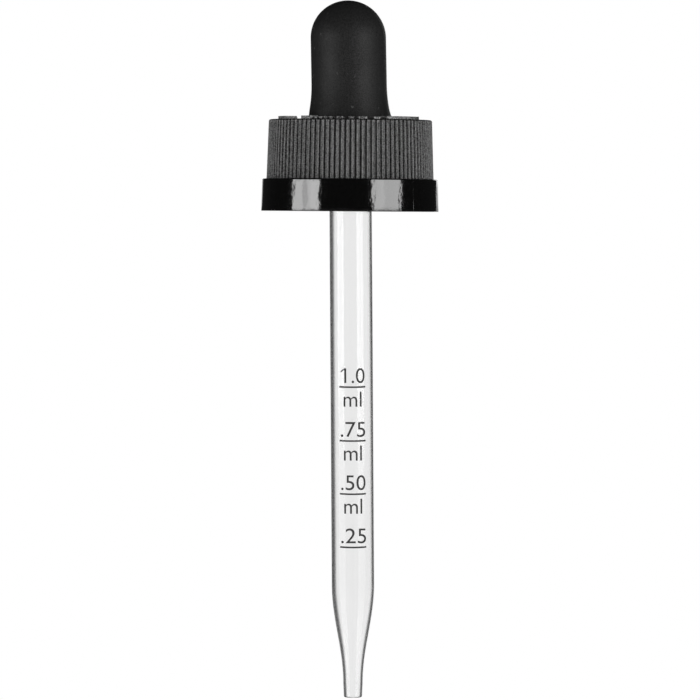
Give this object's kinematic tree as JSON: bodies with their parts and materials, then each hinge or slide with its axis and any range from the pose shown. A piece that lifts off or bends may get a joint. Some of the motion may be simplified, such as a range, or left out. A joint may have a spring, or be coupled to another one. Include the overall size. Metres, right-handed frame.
{
  "type": "medicine dropper",
  "caption": "Child-resistant medicine dropper: a squeezable rubber bulb and a graduated glass pipette in a ribbed push-and-turn cap for a screw-neck bottle.",
  "frame": {"origin": "on the dropper's axis, in the plane where the bottle's lip seats on the bulb's flange", "axes": "+Z along the axis towards the bulb, so the pipette points down -Z; -Y is the front, with the printed scale"},
  "size_m": [0.0292, 0.0292, 0.1152],
  "materials": {
    "rubber": "matte black moulded rubber",
    "outer_plastic": "black moulded polypropylene, fine spark texture on the ribs, glossy on the band",
    "inner_plastic": "black moulded polypropylene",
    "glass": "clear drawn glass with a printed scale"
  },
  "bodies": {
    "pipette": {"glass_pipette": "glass"},
    "bulb": {"rubber_bulb": "rubber"},
    "inner_cap": {"inner_cap": "inner_plastic", "spring_finger_1": "inner_plastic", "spring_finger_2": "inner_plastic", "spring_finger_3": "inner_plastic", "spring_finger_4": "inner_plastic"},
    "outer_cap": {"outer_cap": "outer_plastic"}
  },
  "joints": [
    {"name": "cap_turn", "type": "hinge", "parent": "pipette", "child": "inner_cap", "pos_m": [0, 0, 0], "axis": [0, 0, 1], "continuous": true},
    {"name": "cap_press", "type": "slide", "parent": "inner_cap", "child": "outer_cap", "axis": [0, 0, -1], "range_m": [0, 0.001], "stiffness_N_per_m": 4000, "deforming": ["spring_finger_1", "spring_finger_2", "spring_finger_3", "spring_finger_4"]},
    {"name": "bulb_squeeze", "type": "slide", "parent": "pipette", "child": "bulb", "axis": [0, 1, 0], "range_m": [0, 0.006], "stiffness_N_per_m": 600, "deforming": ["rubber_bulb"]}
  ]
}
